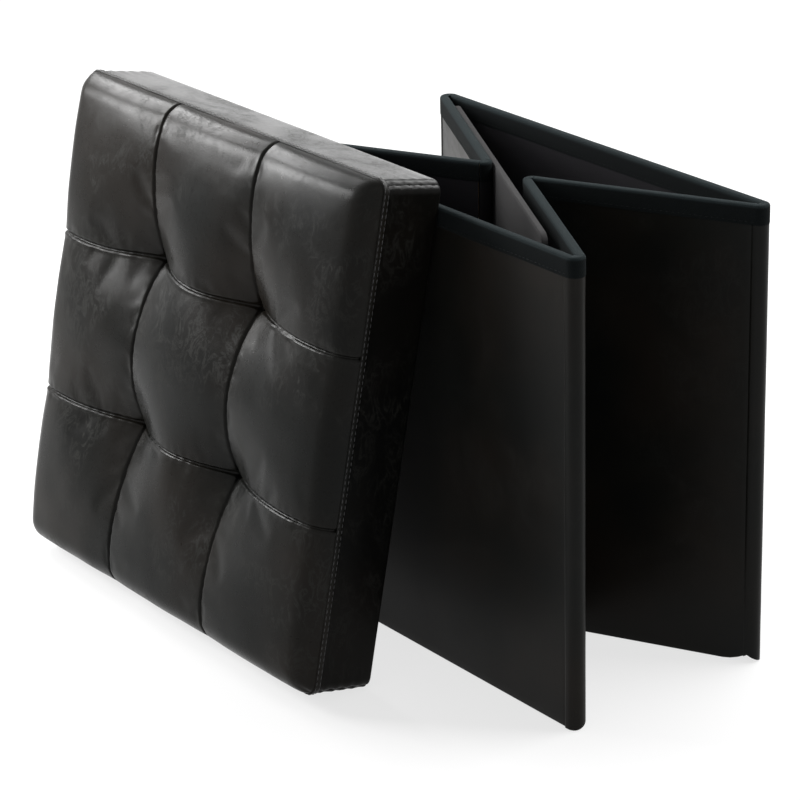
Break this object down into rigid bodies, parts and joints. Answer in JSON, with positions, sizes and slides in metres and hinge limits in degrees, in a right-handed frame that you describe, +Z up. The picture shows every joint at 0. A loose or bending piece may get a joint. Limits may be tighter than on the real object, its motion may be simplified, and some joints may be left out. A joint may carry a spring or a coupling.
{
  "type": "storage ottoman",
  "caption": "Folding cube storage ottoman in black faux leather, half folded, with a tufted lift-off lid leaning on its front wall and a loose floor board stood inside.",
  "frame": {"origin": "middle of the front wall's foot, on the floor", "axes": "+X along the front wall to its right, +Y to the back wall, +Z up"},
  "size_m": [0.5265, 0.3163, 0.3843],
  "materials": {
    "leather": "black grained faux leather, satin",
    "cushion": "black grained faux leather over foam, satin",
    "hem": "dark grey cloth binding",
    "lining": "dark grey non-woven cloth",
    "floor_cloth": "grey non-woven cloth",
    "board": "fibreboard",
    "foam": "soft foam",
    "steel": "plated steel",
    "twine": "black twine"
  },
  "bodies": {
    "front_panel": {"front_cover": "leather", "front_core": "board", "front_lining": "lining", "front_binding": "hem", "front_left_corner": "leather", "front_right_corner": "leather"},
    "left_front_half": {"left_front_cover": "leather", "left_front_core": "board", "left_front_lining": "lining", "left_front_binding": "hem", "left_middle_fold": "lining", "front_left_tuck": "leather"},
    "left_back_half": {"left_back_cover": "leather", "left_back_core": "board", "left_back_lining": "lining", "left_back_binding": "hem"},
    "back_panel": {"back_cover": "leather", "back_core": "board", "back_lining": "lining", "back_binding": "hem", "back_left_corner": "leather", "back_right_corner": "leather"},
    "right_front_half": {"right_front_cover": "leather", "right_front_core": "board", "right_front_lining": "lining", "right_front_binding": "hem", "right_middle_fold": "lining"},
    "right_back_half": {"right_back_cover": "leather", "right_back_core": "board", "right_back_lining": "lining", "right_back_binding": "hem"},
    "floor_board": {"floor_cover": "floor_cloth", "floor_core": "board", "floor_backing": "floor_cloth"},
    "lid": {"lid_band_foot": "leather", "lid_band_right": "leather", "lid_band_head": "leather", "lid_band_left": "leather", "lid_skirt_foot": "board", "lid_skirt_right": "board", "lid_skirt_head": "board", "lid_skirt_left": "board", "lid_panel": "board", "lid_foam": "foam", "lid_lining": "lining", "lid_cushion": "cushion", "lid_seam_tape": "leather", "lid_tuft_washers": "steel", "lid_tuft_ties": "twine", "lid_staples": "steel"}
  },
  "joints": [
    {"name": "box_fold", "type": "hinge", "parent": "front_panel", "child": "right_front_half", "pos_m": [0.1762, 0.0038, 0], "axis": [0, 0, 1], "range_deg": [-62.75, 3.5], "deforming": ["front_right_corner"]},
    {"name": "right_fold", "type": "hinge", "parent": "right_front_half", "child": "right_back_half", "pos_m": [0.02823, 0.08822, 0], "axis": [0, 0, 1], "range_deg": [-7, 125.5], "deforming": ["right_middle_fold"]},
    {"name": "back_right_fold", "type": "hinge", "parent": "right_back_half", "child": "back_panel", "pos_m": [0.1762, 0.17263, 0], "axis": [0, 0, 1], "range_deg": [-62.75, 3.5], "deforming": ["back_right_corner"]},
    {"name": "back_left_fold", "type": "hinge", "parent": "back_panel", "child": "left_back_half", "pos_m": [-0.1762, 0.17263, 0], "axis": [0, 0, 1], "range_deg": [-62.75, 3.5], "deforming": ["back_left_corner"]},
    {"name": "left_fold", "type": "hinge", "parent": "left_back_half", "child": "left_front_half", "pos_m": [-0.02823, 0.08822, 0], "axis": [0, 0, 1], "range_deg": [-7, 125.5], "deforming": ["left_middle_fold"]},
    {"name": "floor_board_lift", "type": "slide", "parent": "left_back_half", "child": "floor_board", "axis": [0, 0, 1], "range_m": [0, 0.36]},
    {"name": "lid_tip", "type": "hinge", "parent": "front_panel", "child": "lid", "pos_m": [-0.1524, -0.13759, 0.01263], "axis": [1, 0, 0], "range_deg": [0, 101.5]}
  ],
  "couplings": [
    {"joint": "right_fold", "follows": "box_fold", "ratio": -2},
    {"joint": "back_right_fold", "follows": "box_fold", "ratio": 1},
    {"joint": "back_left_fold", "follows": "box_fold", "ratio": 1},
    {"joint": "left_fold", "follows": "box_fold", "ratio": -2}
  ]
}
